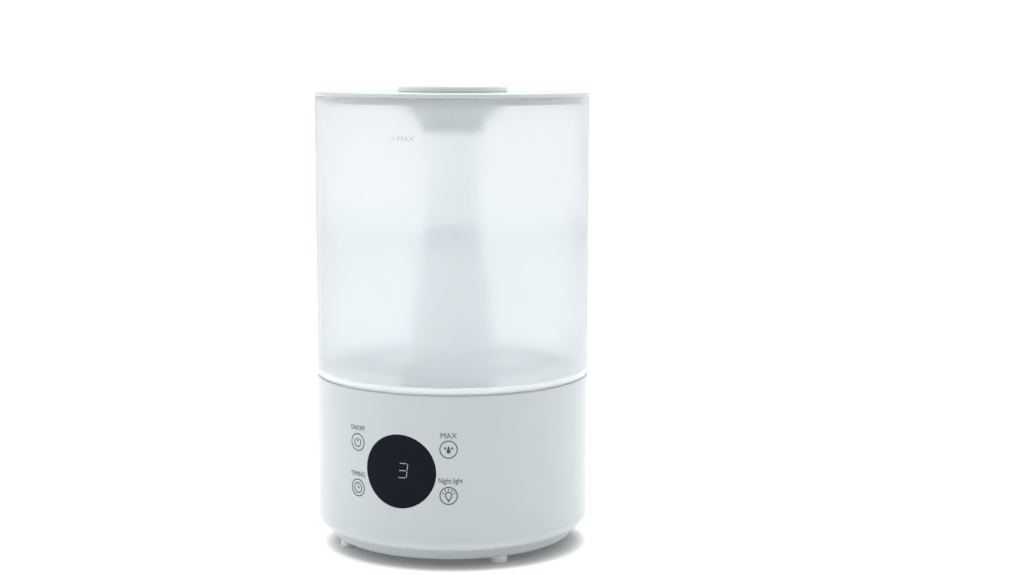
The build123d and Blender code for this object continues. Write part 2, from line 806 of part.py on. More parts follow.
back_row = main_board_y + main_board_width / 2 - 5
front_row = main_board_y - main_board_width / 2 + 5
plug_places = {
    "transducer": (-9, back_row),
    "fan": (-20, back_row),
    "inlet": (8, back_row),
    "float": (main_screw_x - 5, back_row - 5),
    "night light": (5 - main_screw_x, back_row - 7),
    "display": (0, front_row),
}
with BuildPart() as board_connectors:
    with BuildSketch(Plane.XY.offset(main_board_top)):
        with Locations(*plug_places.values()):
            Rectangle(8, 5.5)
    extrude(amount=connector_height)

# ------------------------------------------------------------------ power inlet at the back
with BuildPart() as power_inlet:
    with Locations((0, jack_back, jack_under)):
        Box(jack_width, jack_length, jack_height, align=(Align.CENTER, Align.MAX, Align.MIN))
    with BuildSketch(Plane.XZ.offset(-jack_back)):
        with Locations((0, jack_z)):
            Circle(jack_nose)
    extrude(amount=-jack_nose_length)
    with BuildSketch(Plane.XZ.offset(-jack_back - jack_nose_length)):
        with Locations((0, jack_z)):
            Circle(jack_bore)
    extrude(amount=jack_bore_depth, mode=Mode.SUBTRACT)

pin_root = jack_back + jack_nose_length - jack_bore_depth
with BuildPart() as inlet_pin:
    with BuildSketch(Plane.XZ.offset(-pin_root)):
        with Locations((0, jack_z)):
            Circle(jack_pin)
    extrude(amount=-jack_bore_depth + 1.5)
    fillet(inlet_pin.faces().sort_by(Axis.Y)[-1].edges(), 0.5)

with BuildPart() as inlet_board:
    with Locations((0, jack_board_y, jack_under)):
        Box(
            jack_board_width,
            jack_board_length,
            board_thickness,
            align=(Align.CENTER, Align.CENTER, Align.MAX),
        )

# ------------------------------------------------------------------ float and its sensor
float_bottom = basin_floor_top + float_rest
float_bore = float_post_radius + float_bore_clearance
magnet_inner = float_bore + magnet_wall
with BuildPart() as level_float:
    with Locations((float_x, float_y, float_bottom)):
        Cylinder(float_radius, float_height, align=(Align.CENTER, Align.CENTER, Align.MIN))
        fillet(level_float.edges().filter_by(GeomType.CIRCLE), 0.8)
        Cylinder(
            float_bore,
            float_height,
            align=(Align.CENTER, Align.CENTER, Align.MIN),
            mode=Mode.SUBTRACT,
        )
    with BuildSketch(Plane.XY.offset(float_bottom)):
        with Locations((float_x, float_y)):
            Circle(magnet_inner + magnet_width + magnet_clearance)
            Circle(magnet_inner - magnet_clearance, mode=Mode.SUBTRACT)
    extrude(amount=magnet_height + 0.5, mode=Mode.SUBTRACT)

with BuildPart() as float_magnet:
    with BuildSketch(Plane.XY.offset(float_bottom + 0.5)):
        with Locations((float_x, float_y)):
            Circle(magnet_inner + magnet_width)
            Circle(magnet_inner, mode=Mode.SUBTRACT)
    extrude(amount=magnet_height)

with BuildPart() as float_clip:
    with BuildSketch(Plane.XY.offset(basin_floor_top + float_post_height - 0.5)):
        with Locations((float_x, float_y)):
            Circle(clip_radius)
            Circle(float_post_radius, mode=Mode.SUBTRACT)
        with Locations((float_x + clip_radius, float_y)):
            Rectangle(2 * clip_radius, 2, mode=Mode.SUBTRACT)
    extrude(amount=-clip_thickness)

with BuildPart() as float_sensor:
    with Locations((float_x, float_y, basin_floor_under)):
        Cylinder(
            reed_radius,
            basin_wall + float_post_height - 3.5,
            align=(Align.CENTER, Align.CENTER, Align.MIN),
        )
        Box(12, 8, 1.2, align=(Align.CENTER, Align.CENTER, Align.MAX))

# ------------------------------------------------------------------ night light
with BuildPart() as night_light_lens:
    with Locations((light_x, light_y, basin_floor_under)):
        Cylinder(light_radius, basin_wall, align=(Align.CENTER, Align.CENTER, Align.MIN))
        Cylinder(
            light_radius + light_flange,
            1.2,
            align=(Align.CENTER, Align.CENTER, Align.MAX),
        )

light_board_top = basin_floor_under - spigot_length
with BuildPart() as night_light_board:
    with BuildSketch(Plane.XY.offset(light_board_top)):
        with Locations((light_x, light_y)):
            RectangleRounded(30, 14, 2)
    extrude(amount=-board_thickness)

with BuildPart() as night_light_leds:
    for dx in (-4, 4):
        with Locations((light_x + dx, light_y, light_board_top)):
            Cylinder(1.5, 1.8, align=(Align.CENTER, Align.CENTER, Align.MIN))
        with Locations((light_x + dx, light_y, light_board_top + 1.8)):
            Sphere(1.5)

# ------------------------------------------------------------------ wiring
with BuildPart() as transducer_leads:
    plug_x, plug_y = plug_places["transducer"]
    for side in (-1.6, 1.6):
        add(
            lead(
                [
                    (side, transducer_y, disc_top - disc_thickness),
                    (side, transducer_y, 62),
                    (plug_x + side, plug_y, 46),
                    (plug_x + side, plug_y, connector_top),
                ]
            )
        )

with BuildPart() as fan_leads:
    plug_x, plug_y = plug_places["fan"]
    for side in (-1.2, 1.2):
        add(
            lead(
                [
                    (plug_x + side, fan_y - fan_size / 2, fan_top - 5),
                    (plug_x + side, plug_y + 13, fan_top - 5),
                    (plug_x + side, plug_y, fan_top - 14),
                    (plug_x + side, plug_y, connector_top),
                ]
            )
        )

with BuildPart() as inlet_leads:
    plug_x, plug_y = plug_places["inlet"]
    for side in (-1.6, 1.6):
        add(
            lead(
                [
                    (side, jack_board_y - 7, jack_under),
                    (side, jack_board_y - 7, jack_under + 10),
                    (side, jack_board_y - 26, jack_under + 14),
                    (plug_x + side, plug_y + 12, jack_under + 20),
                    (plug_x + side, plug_y, connector_top + 8),
                    (plug_x + side, plug_y, connector_top),
                ]
            )
        )

with BuildPart() as display_leads:
    plug_x, plug_y = plug_places["display"]
    for side in (-3, -1, 1, 3):
        add(
            lead(
                [
                    (plug_x + side, display_board_front + board_thickness, display_z - 12),
                    (plug_x + side, display_board_front + 10, display_z - 12),
                    (plug_x + side, plug_y, connector_top + 12),
                    (plug_x + side, plug_y, connector_top),
                ]
            )
        )

with BuildPart() as float_leads:
    plug_x, plug_y = plug_places["float"]
    for side in (-1.2, 1.2):
        add(
            lead(
                [
                    (float_x - 3 + side, float_y, basin_floor_under - 1.2),
                    (float_x - 3 + side, float_y, 64),
                    (plug_x + side, plug_y, 48),
                    (plug_x + side, plug_y, connector_top),
                ]
            )
        )

with BuildPart() as night_light_leads:
    plug_x, plug_y = plug_places["night light"]
    for side in (-1.2, 1.2):
        add(
            lead(
                [
                    (light_x + side, light_y, light_board_top - board_thickness),
                    (light_x + side, light_y, 60),
                    (plug_x + side, plug_y, 46),
                    (plug_x + side, plug_y, connector_top),
                ]
            )
        )

# ------------------------------------------------------------------ tank
with BuildPart() as tank_shell:
    with BuildSketch(Plane.XZ):
        with Locations((tank_inner + tank_wall / 2, tank_bottom + tank_height / 2)):
            Rectangle(tank_wall, tank_height)
    revolve(axis=Axis.Z)
    fillet(tank_shell.edges().filter_by(GeomType.CIRCLE), 0.5)

chimney_seat = chimney_foot + chimney_flange
with BuildPart() as tank_floor:
    with BuildSketch(Plane.XZ):
        with BuildLine():
            skirt_outer = mist_skirt_radius + mist_skirt_wall
            support_outer = support_ring_inner + support_ring_width
            support_bottom = deck_top + fit_gap
            Polyline(
                (chimney_foot - chimney_wall, tank_floor_top - chimney_flange_thickness),
                (chimney_foot - chimney_wall, tank_floor_under),
                (mist_skirt_radius, tank_floor_under),
                (mist_skirt_radius, mist_skirt_bottom),
                (skirt_outer, mist_skirt_bottom),
                (skirt_outer, tank_floor_under),
                (support_ring_inner, tank_floor_under),
                (support_ring_inner, support_bottom),
                (support_outer, support_bottom),
                (support_outer, tank_floor_under),
                (tank_inner, tank_floor_under),
                (tank_inner, tank_floor_top),
                (chimney_seat + chimney_joint_gap, tank_floor_top),
                (chimney_seat + chimney_joint_gap, tank_floor_top - chimney_flange_thickness),
                close=True,
            )
        make_face()
    revolve(axis=Axis.Z)
    with Locations((0, valve_y, tank_floor_under)):
        Cylinder(
            valve_hole + valve_collar,
            4,
            align=(Align.CENTER, Align.CENTER, Align.MAX),
        )
    with Locations((0, valve_y, tank_floor_top)):
        Cylinder(
            valve_hole,
            tank_floor_thickness + 4,
            align=(Align.CENTER, Align.CENTER, Align.MAX),
            mode=Mode.SUBTRACT,
        )

with BuildPart() as chimney:
    with BuildSketch(Plane.XZ):
        with BuildLine():
            flange_under = tank_floor_top - chimney_flange_thickness
            Polyline(
                (chimney_mouth, chimney_top),
                (chimney_mouth - chimney_wall, chimney_top),
                (chimney_shoulder - chimney_wall, chimney_shoulder_z),
            )
            TangentArc(
                (chimney_foot - chimney_wall, tank_floor_top),
                (chimney_shoulder - chimney_wall, chimney_shoulder_z),
                tangent=(0, 1),
            )
            Polyline(
                (chimney_foot - chimney_wall, tank_floor_top),
                (chimney_foot - chimney_wall, flange_under),
                (chimney_seat, flange_under),
                (chimney_seat, tank_floor_top),
                (chimney_foot, tank_floor_top),
            )
            TangentArc(
                (chimney_foot, tank_floor_top),
                (chimney_shoulder, chimney_shoulder_z),
                tangent=(0, 1),
            )
            Line((chimney_shoulder, chimney_shoulder_z), (chimney_mouth, chimney_top))
        make_face()
    revolve(axis=Axis.Z)

# ------------------------------------------------------------------ tank valve
seal_bottom = tank_floor_top + valve_lift
head_bottom = seal_bottom + valve_seal_thickness
head_top = head_bottom + valve_head_thickness
cage_ceiling = head_top + valve_spring_height
with BuildPart() as valve_cage:
    with BuildSketch(Plane.XZ.offset(-valve_y)):
        with BuildLine():
            Polyline(
                (valve_cage_radius, tank_floor_top),
                (valve_cage_radius, cage_ceiling + valve_cage_roof),
                (0, cage_ceiling + valve_cage_roof),
                (0, cage_ceiling),
                (valve_cage_radius - valve_cage_wall, cage_ceiling),
                (valve_cage_radius - valve_cage_wall, tank_floor_top),
                close=True,
            )
        make_face()
    revolve(axis=Axis((0, valve_y, 0), (0, 0, 1)))
    fillet(valve_cage.edges().group_by(Axis.Z)[-1], 0.8)
    with Locations((0, valve_y, tank_floor_top + 0.8)):
        with PolarLocations(valve_cage_radius, 6):
            Box(6, 2.6, 5.5, align=(Align.CENTER, Align.CENTER, Align.MIN), mode=Mode.SUBTRACT)

with BuildPart() as valve_plunger:
    with Locations((0, valve_y, head_bottom)):
        Cylinder(valve_head, valve_head_thickness, align=(Align.CENTER, Align.CENTER, Align.MIN))
    with Locations((0, valve_y, tank_floor_under - valve_stem_drop)):
        Cylinder(
            valve_stem,
            head_top - tank_floor_under + valve_stem_drop,
            align=(Align.CENTER, Align.CENTER, Align.MIN),
        )
        with PolarLocations(0, 3, start_angle=30):
            Box(
                valve_hole - 0.4,
                1.0,
                seal_bottom - tank_floor_under + valve_stem_drop - 3.5,
                align=(Align.MIN, Align.CENTER, Align.MIN),
            )

with BuildPart() as valve_seal:
    with BuildSketch(Plane.XY.offset(seal_bottom)):
        with Locations((0, valve_y)):
            Circle(valve_head + 0.3)
            Circle(valve_stem + 0.05, mode=Mode.SUBTRACT)
    extrude(amount=valve_seal_thickness)

with BuildPart() as valve_spring:
    with Locations((0, valve_y, head_top)):
        add(coil_spring(valve_spring_radius, valve_spring_wire, valve_spring_height, 3))

# ------------------------------------------------------------------ lid
lid_skirt_outer = tank_inner - lid_skirt_clearance
seat_floor = lid_top - seat_depth
collar_inner = chimney_mouth + collar_clearance
collar_bottom = chimney_top - collar_overlap
funnel_inner_top = seat_radius - funnel_shelf
with BuildPart() as lid:
    with BuildSketch(Plane.XZ):
        with BuildLine():
            Polyline(
                (seat_radius, lid_top),
                (lid_radius, lid_top),
                (lid_radius, lid_under),
                (lid_skirt_outer, lid_under),
                (lid_skirt_outer, lid_under - lid_skirt_depth),
                (lid_skirt_outer - lid_skirt_wall, lid_under - lid_skirt_depth),
                (lid_skirt_outer - lid_skirt_wall, lid_under),
                (seat_radius + seat_wall, lid_under),
                (seat_radius + seat_wall, seat_floor),
                (collar_inner + seat_wall, chimney_top - 1.4),
                (collar_inner + seat_wall, collar_bottom),
                (collar_inner, collar_bottom),
                (collar_inner, chimney_top - 0.6),
                (funnel_inner_top, seat_floor - seat_wall),
                (funnel_inner_top, seat_floor),
                (seat_radius, seat_floor),
                close=True,
            )
        make_face()
    revolve(axis=Axis.Z)
    top_rim = lid.edges().filter_by(GeomType.CIRCLE).group_by(Axis.Z)[-1].sort_by(SortBy.RADIUS)[-1]
    fillet(top_rim, lid_edge)

# ------------------------------------------------------------------ nozzle insert with its anti-splash baffle
insert_radius = seat_radius - insert_clearance
insert_bottom = seat_floor + 0.3
insert_inner = insert_radius - insert_wall
with BuildPart() as nozzle_insert:
    with BuildSketch(Plane.XY.offset(insert_bottom)):
        Circle(insert_radius)
        Circle(insert_inner, mode=Mode.SUBTRACT)
    extrude(amount=lid_top - fit_gap - insert_bottom)
    with BuildSketch(Plane.XY.offset(insert_bottom)):
        with PolarLocations((baffle_radius + insert_inner) / 2, 3, start_angle=90):
            Rectangle(insert_inner - baffle_radius + 2, spoke_width)
        Circle(baffle_radius)
    extrude(amount=baffle_thickness)
    with BuildSketch(Plane.XZ):
        with BuildLine():
            Polyline(
                (0, insert_bottom),
                (baffle_radius, insert_bottom),
                (baffle_radius, insert_bottom + baffle_thickness),
                (0, insert_bottom + baffle_thickness + baffle_dome),
                close=True,
            )
        make_face()
    revolve(axis=Axis.Z)

# ------------------------------------------------------------------ nozzle cap, which turns on the insert
cap_under = lid_top + cap_gap
cap_skirt_outer = insert_inner - cap_skirt_clearance
cap_skirt_inner = cap_skirt_outer - cap_skirt_wall
with BuildPart() as nozzle_cap:
    with BuildSketch(Plane.XZ):
        with BuildLine():
            Polyline(
                (0, cap_top - dish_depth),
                (dish_radius - 4, cap_top - dish_depth),
                (dish_radius, cap_top),
                (cap_radius, cap_top),
                (cap_radius, cap_under),
                (cap_radius - cap_wall, cap_under),
                (cap_radius - cap_wall, cap_top - cap_wall),
                (cap_skirt_outer, cap_top - cap_wall),
                (cap_skirt_outer, lid_top - cap_skirt_depth),
                (cap_skirt_inner, lid_top - cap_skirt_depth),
                (cap_skirt_inner, cap_top - dish_depth - cap_wall),
                (0, cap_top - dish_depth - cap_wall),
                close=True,
            )
        make_face()
    revolve(axis=Axis.Z)
    cap_rim = nozzle_cap.edges().filter_by(GeomType.CIRCLE).group_by(Axis.Z)[-1].sort_by(SortBy.RADIUS)[-1]
    fillet(cap_rim, cap_edge)
    with BuildLine(Plane.XY.offset(cap_top)) as outlet_line:
        CenterArc((0, 0), outlet_radius, outlet_start, outlet_span)
    with BuildSketch(Plane.XY.offset(cap_top)):
        SlotArc(outlet_line.edge(), outlet_width)
    extrude(amount=-2 * (dish_depth + cap_wall), mode=Mode.SUBTRACT)

# ------------------------------------------------------------------ write every piece
pieces = {
    "feet": feet,
    "bottom_cover": bottom_cover,
    "base_shell": base_shell,
    "basin": basin,
    "case_screws": case_screws,
    "display_lens": display_lens,
    "display_board": display_board,
    "display_screws": display_screws,
    "digit_display": digit_display,
    "infrared_receiver": infrared_receiver,
    "touch_springs": touch_springs,
    "transducer_disc": transducer_disc,
    "transducer_seal": transducer_seal,
    "transducer_clamp": transducer_clamp,
    "transducer_screws": transducer_screws,
    "fan_frame": fan_frame,
    "fan_rotor": fan_rotor,
    "air_duct": air_duct,
    "fan_screws": fan_screws,
    "main_board": main_board,
    "board_screws": board_screws,
    "heat_sink": heat_sink,
    "power_transistor": power_transistor,
    "capacitors": capacitors,
    "inductor": inductor,
    "board_connectors": board_connectors,
    "power_inlet": power_inlet,
    "inlet_pin": inlet_pin,
    "inlet_board": inlet_board,
    "level_float": level_float,
    "float_magnet": float_magnet,
    "float_clip": float_clip,
    "float_sensor": float_sensor,
    "night_light_lens": night_light_lens,
    "night_light_board": night_light_board,
    "night_light_leds": night_light_leds,
    "transducer_leads": transducer_leads,
    "fan_leads": fan_leads,
    "inlet_leads": inlet_leads,
    "display_leads": display_leads,
    "float_leads": float_leads,
    "night_light_leads": night_light_leads,
    "tank_shell": tank_shell,
    "tank_floor": tank_floor,
    "chimney": chimney,
    "valve_cage": valve_cage,
    "valve_plunger": valve_plunger,
    "valve_seal": valve_seal,
    "valve_spring": valve_spring,
    "lid": lid,
    "nozzle_insert": nozzle_insert,
    "nozzle_cap": nozzle_cap,
}
for name, piece in pieces.items():
    piece.part.label = name
    export_step(piece.part, f"parts/{name}.step")
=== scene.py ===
import math

import bmesh
import bpy
from mathutils import Matrix, Vector


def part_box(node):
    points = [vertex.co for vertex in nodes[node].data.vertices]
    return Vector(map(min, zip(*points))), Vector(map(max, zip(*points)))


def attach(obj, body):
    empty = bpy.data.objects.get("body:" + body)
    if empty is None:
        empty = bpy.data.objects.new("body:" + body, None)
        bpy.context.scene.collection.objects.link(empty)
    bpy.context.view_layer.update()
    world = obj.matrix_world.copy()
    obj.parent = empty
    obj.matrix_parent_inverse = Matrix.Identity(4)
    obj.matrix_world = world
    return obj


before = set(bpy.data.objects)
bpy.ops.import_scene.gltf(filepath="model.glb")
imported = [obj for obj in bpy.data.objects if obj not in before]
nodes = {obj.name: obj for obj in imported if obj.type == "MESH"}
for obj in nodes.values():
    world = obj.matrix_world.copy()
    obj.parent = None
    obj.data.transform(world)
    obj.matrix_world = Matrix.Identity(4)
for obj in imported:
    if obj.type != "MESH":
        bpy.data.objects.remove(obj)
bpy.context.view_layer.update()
MM = 0.001


# ---------------------------------------------------------------- where things are
_, shell_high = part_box("base_shell")
body_radius = shell_high.x
lens_low, lens_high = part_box("display_lens")
display_z = (lens_low.z + lens_high.z) / 2
_, floor_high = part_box("tank_floor")
cage_low, cage_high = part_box("valve_cage")


# ---------------------------------------------------------------- materials
def material(name):
    """A node material with its tree cleared down to one Principled shader."""
    made = bpy.data.materials.new(name)
    made.use_nodes = True
    tree = made.node_tree
    tree.nodes.clear()
    shader = tree.nodes.new("ShaderNodeBsdfPrincipled")
    output = tree.nodes.new("ShaderNodeOutputMaterial")
    tree.links.new(shader.outputs["BSDF"], output.inputs["Surface"])
    return made, tree, shader


def noise(tree, scale, detail=2.0, stretch=(1, 1, 1)):
    """Noise in the object's own coordinates, scale in features per metre."""
    coords = tree.nodes.new("ShaderNodeTexCoord")
    mapping = tree.nodes.new("ShaderNodeMapping")
    mapping.inputs["Scale"].default_value = stretch
    texture = tree.nodes.new("ShaderNodeTexNoise")
    texture.inputs["Scale"].default_value = scale
    texture.inputs["Detail"].default_value = detail
    tree.links.new(coords.outputs["Object"], mapping.inputs["Vector"])
    tree.links.new(mapping.outputs["Vector"], texture.inputs["Vector"])
    return texture.outputs["Fac"]


def spread(tree, value, low, high, start=0.3, end=0.7, kind="LINEAR"):
    """Maps a value that goes from start to end, by default noise, to run from low to high."""
    node = tree.nodes.new("ShaderNodeMapRange")
    node.interpolation_type = kind
    node.inputs["From Min"].default_value = start
    node.inputs["From Max"].default_value = end
    node.inputs["To Min"].default_value = low
    node.inputs["To Max"].default_value = high
    tree.links.new(value, node.inputs["Value"])
    return node.outputs["Result"]


def tint(tree, shader, value, dark, light):
    """Base colour varying between two near tones."""
    ramp = tree.nodes.new("ShaderNodeValToRGB")
    ramp.color_ramp.elements[0].position = 0.35
    ramp.color_ramp.elements[0].color = (*dark, 1)
    ramp.color_ramp.elements[1].position = 0.65
    ramp.color_ramp.elements[1].color = (*light, 1)
    tree.links.new(value, ramp.inputs["Fac"])
    tree.links.new(ramp.outputs["Color"], shader.inputs["Base Color"])


def bump(tree, shader, value, strength, distance):
    node = tree.nodes.new("ShaderNodeBump")
    node.inputs["Strength"].default_value = strength
    node.inputs["Distance"].default_value = distance
    tree.links.new(value, node.inputs["Height"])
    tree.links.new(node.outputs["Normal"], shader.inputs["Normal"])


def set_sockets(shader, sockets):
    """Sets shader inputs given as keywords, with underscores for the spaces in their names."""
    for socket, value in sockets.items():
        shader.inputs[socket.replace("_", " ")].default_value = value


def surface(
    name, colour, rough, grain=900, grain_depth=0.02,
    metal=0.0, stretch=(1, 1, 1), vary=0.04, **sockets,
):
    """Moulded, cast, plated or brushed stock: near-even colour, uneven gloss and a fine grain."""
    made, tree, shader = material(name)
    broad = noise(tree, 60, 3.0, stretch)
    fine = noise(tree, grain, 2.0, stretch)
    dark = tuple(c * (1 - vary) for c in colour)
    tint(tree, shader, broad, dark, colour)
    gloss = spread(tree, fine, rough * 0.85, min(1.0, rough * 1.15))
    tree.links.new(gloss, shader.inputs["Roughness"])
    bump(tree, shader, fine, grain_depth, 0.2 * MM)
    shader.inputs["Metallic"].default_value = metal
    set_sockets(shader, sockets)
    return made


def clear(name, colour, rough, through, ior=1.45, grain_depth=0.02, **sockets):
    """A see-through or milky stock: light passes through a slightly uneven surface."""
    made, tree, shader = material(name)
    fine = noise(tree, 1300, 3.0)
    broad = noise(tree, 25, 2.0)
    tint(tree, shader, broad, tuple(c * 0.985 for c in colour), colour)
    gloss = spread(tree, fine, rough * 0.9, min(1.0, rough * 1.1))
    tree.links.new(gloss, shader.inputs["Roughness"])
    bump(tree, shader, fine, grain_depth, 0.1 * MM)
    shader.inputs["IOR"].default_value = ior
    shader.inputs["Transmission Weight"].default_value = through
    set_sockets(shader, sockets)
    return made


def metal(name, colour, rough, grain, grain_depth, **settings):
    return surface(name, colour, rough, grain, grain_depth, metal=1.0, **settings)


gloss_look = {"vary": 0.012, "Specular_IOR_Level": 0.3}
along_z = (1, 1, 0.06)
around_core = (1, 1, 0.2)
# Colour of a painted glow: emission on plastic parts that are no lamp.
painted_glow_colour = (0.93, 0.98, 1.0, 1)

white_gloss = surface("white_gloss", (0.535, 0.58, 0.59), 0.34, 1400, 0.015, **gloss_look)
white_satin = surface("white_satin", (0.78, 0.80, 0.81), 0.4, 1100, 0.03, vary=0.015)
# Painted light: a lighter copy of the white gloss plastic, for the feet and the nozzle cap, which sit in
# shade.
lit_white_gloss = surface("lit_white_gloss", (0.80, 0.84, 0.845), 0.34, 1400, 0.015, **gloss_look)
black_window = surface(
    "black_window", (0.002, 0.0045, 0.011), 0.12, 500, 0.004, vary=0.2, Specular_IOR_Level=0.08
)
black_plastic = surface("black_plastic", (0.025, 0.025, 0.027), 0.45, 1500, 0.08, vary=0.15)
steel = metal("plated_steel", (0.62, 0.62, 0.63), 0.28, 700, 0.05, vary=0.06)
aluminium = metal("extruded_aluminium", (0.78, 0.79, 0.80), 0.35, 500, 0.12, stretch=along_z, vary=0.08)
disc_face = metal("nickel_face", (0.72, 0.70, 0.66), 0.3, 900, 0.06, vary=0.1)
copper = metal("enamelled_copper", (0.75, 0.32, 0.12), 0.3, 900, 0.3, stretch=around_core, vary=0.2)
silicone = surface("silicone", (0.82, 0.82, 0.80), 0.5, 700, 0.03, vary=0.03, Subsurface_Weight=0.15)
magnet_grey = surface("ferrite", (0.06, 0.06, 0.065), 0.5, 1200, 0.15, vary=0.3)
solder_mask = surface("solder_mask", (0.02, 0.16, 0.06), 0.3, 350, 0.1, vary=0.25)
nylon = surface("cream_nylon", (0.78, 0.75, 0.64), 0.45, 1200, 0.05)
can_sleeve = surface("can_sleeve", (0.05, 0.06, 0.14), 0.3, 900, 0.03, vary=0.1)
foam_white = surface("float_foam", (0.86, 0.86, 0.85), 0.6, 2200, 0.25)
lead_red = surface("red_insulation", (0.5, 0.03, 0.02), 0.4, 1500, 0.05)
lead_black = surface("black_insulation", (0.02, 0.02, 0.02), 0.4, 1500, 0.05)
lead_white = surface("white_insulation", (0.75, 0.75, 0.74), 0.4, 1500, 0.05)
key_ink = surface("key_ink", (0.075, 0.10, 0.12), 0.5, 1600, 0.02, vary=0.1, Specular_IOR_Level=0.2)
mark_ink = surface("mark_ink", (0.60, 0.64, 0.67), 0.5, 1600, 0.02, vary=0.05)
frosted = clear("frosted_tank", (0.94, 0.962, 0.967), 0.34, 0.80, ior=1.2, grain_depth=0.0)
# Milky plastic with a painted glow: the chimney and tank floor emit light, which stands in for light
# shining through them.
milky = clear(
    "milky_plastic_painted_glow", (0.97, 0.985, 0.99), 0.45, 0.25, ior=1.35,
    Emission_Color=painted_glow_colour, Emission_Strength=0.17,
)
# Painted glow: the valve emits light, which lightens it where it is seen through the frosted tank.
valve_white_painted_glow = surface(
    "valve_white_painted_glow", (0.90, 0.93, 0.93), 0.45, vary=0.01,
    Emission_Color=painted_glow_colour, Emission_Strength=0.25,
)
light_window = clear("light_window", (0.95, 0.95, 0.93), 0.35, 0.6)
led_resin = clear("led_resin", (0.96, 0.93, 0.80), 0.08, 0.8)
water = clear("water", (0.865, 0.915, 0.93), 0.02, 1.0, ior=1.01, grain_depth=0.0)

finishes = {
    white_gloss: ["base_shell", "bottom_cover", "lid"],
    lit_white_gloss: ["feet", "nozzle_cap"],
    white_satin: ["basin", "air_duct", "float_clip", "nozzle_insert"],
    valve_white_painted_glow: ["valve_cage", "valve_plunger"],
    black_window: ["display_lens"],
    black_plastic: [
        "digit_display", "infrared_receiver", "fan_frame", "fan_rotor",
        "power_transistor", "power_inlet", "float_sensor",
    ],
    steel: [
        "case_screws", "display_screws", "touch_springs", "transducer_clamp", "transducer_screws",
        "fan_screws", "board_screws", "inlet_pin", "valve_spring",
    ],
    aluminium: ["heat_sink"],
    disc_face: ["transducer_disc"],
    copper: ["inductor"],
    silicone: ["transducer_seal", "valve_seal"],
    magnet_grey: ["float_magnet"],
    solder_mask: ["display_board", "main_board", "inlet_board", "night_light_board"],
    nylon: ["board_connectors"],
    can_sleeve: ["capacitors"],
    foam_white: ["level_float"],
    light_window: ["night_light_lens"],
    led_resin: ["night_light_leds"],
    lead_red: ["transducer_leads", "inlet_leads"],
    lead_black: ["fan_leads", "night_light_leads"],
    lead_white: ["display_leads", "float_leads"],
    frosted: ["tank_shell"],
    milky: ["tank_floor", "chimney"],
}
for finish, names in finishes.items():
    for name in names:
        for place in nodes[name].material_slots:
            place.material = finish


# ---------------------------------------------------------------- building pieces
def piece(name, points, faces, body, finish, smooth=False):
    """A new mesh piece in the shared frame that moves with a CAD body."""
    mesh = bpy.data.meshes.new(name)
    mesh.from_pydata([tuple(p) for p in points], [], faces)
    welded = bmesh.new()
    welded.from_mesh(mesh)
    bmesh.ops.remove_doubles(welded, verts=welded.verts, dist=1e-7)
    bmesh.ops.recalc_face_normals(welded, faces=welded.faces)
    welded.to_mesh(mesh)
    welded.free()
    for polygon in mesh.polygons:
        polygon.use_smooth = smooth
    made = bpy.data.objects.new(name, mesh)
    bpy.context.scene.collection.objects.link(made)
    mesh.materials.append(finish)
    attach(made, body)
    return made


def evaluated_mesh(thing):
    """A mesh of its own from an object's text or modifiers."""
    bpy.context.view_layer.update()
    return bpy.data.meshes.new_from_object(thing.evaluated_get(bpy.context.evaluated_depsgraph_get()))


# ---------------------------------------------------------------- printing on the round wall
ink_lift = 0.04 * MM
ink_thick = 0.03 * MM


def on_wall(x, z, angle, height, lift):
    """A flat drawing's point (x, z), in metres, wrapped on the body's round wall."""
    turn = angle + x / body_radius
    out = body_radius + lift
    return Vector((out * math.sin(turn), -out * math.cos(turn), height + z))


def ribbon(line, width, closed=False):
    """The two sides of a stroke along a flat line."""
    left, right = [], []
    count = len(line)
    for i, point in enumerate(line):
        before = line[i - 1] if closed or i else line[0]
        after = line[(i + 1) % count] if closed or i < count - 1 else line[-1]
        along = Vector((after[0] - before[0], after[1] - before[1])).normalized()
        side = Vector((-along.y, along.x)) * width / 2
        left.append((point[0] + side.x, point[1] + side.y))
        right.append((point[0] - side.x, point[1] - side.y))
    return left, right


def print_lines(name, lines, width, angle, height, body, finish, slot_name, lift=ink_lift):
    """Strokes printed on the round wall, with the ink's own thickness."""
    top = lift + ink_thick
    points, faces = [], []
    for line, closed in lines:
        left, right = ribbon(line, width, closed)
        start = len(points)
        for (lx, lz), (rx, rz) in zip(left, right):
            points.append(on_wall(lx, lz, angle, height, lift))
            points.append(on_wall(rx, rz, angle, height, lift))
            points.append(on_wall(rx, rz, angle, height, top))
            points.append(on_wall(lx, lz, angle, height, top))
        count = len(line)
        for i in range(count if closed else count - 1):
            here = start + 4 * i
            there = start + 4 * ((i + 1) % count)
            for k in range(4):
                n = (k + 1) % 4
                faces.append((here + k, here + n, there + n, there + k))
        if not closed:
            faces.append(tuple(start + k for k in range(4)))
            faces.append(tuple(start + 4 * (count - 1) + k for k in range(4)))
    return piece(name, points, faces, body, finish)


def print_shape(name, outlines, angle, height, body, finish, slot_name):
    """Filled shapes printed on the round wall."""
    points, faces = [], []
    for outline in outlines:
        start, count = len(points), len(outline)
        for depth in (ink_lift, ink_lift + ink_thick):
            points += [on_wall(x, z, angle, height, depth) for x, z in outline]
        faces.append(tuple(start + k for k in range(count)))
        faces.append(tuple(start + count + k for k in range(count)))
        for k in range(count):
            n = (k + 1) % count
            faces.append((start + k, start + n, start + count + n, start + count + k))
    return piece(name, points, faces, body, finish)


